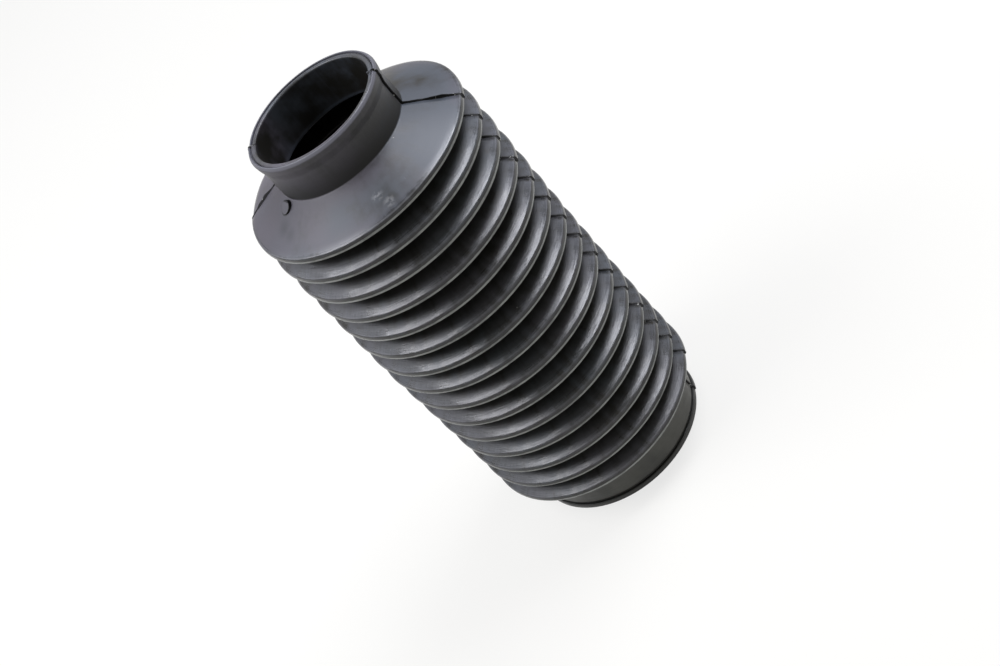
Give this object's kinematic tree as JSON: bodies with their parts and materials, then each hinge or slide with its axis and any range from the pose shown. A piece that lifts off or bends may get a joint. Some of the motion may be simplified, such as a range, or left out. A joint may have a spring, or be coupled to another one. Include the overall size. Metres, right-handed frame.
{
  "type": "rubber bellows boot",
  "caption": "Moulded rubber bellows boot with a lipped neck, a sloping shoulder, skirt-shaped folds and a beaded cuff; seals a sliding rod or tube.",
  "frame": {"origin": "centre of the base, on the axis, where the cuff's mouth stands", "axes": "+Z along the boot's axis, from the wide cuff to the narrow neck; +X lies in the plane of the mould's parting line"},
  "size_m": [0.094, 0.094, 0.2066],
  "materials": {
    "rubber": "satin, as moulded, with a light bloom"
  },
  "bodies": {
    "root": {"bellows_boot": "rubber"}
  },
  "joints": []
}
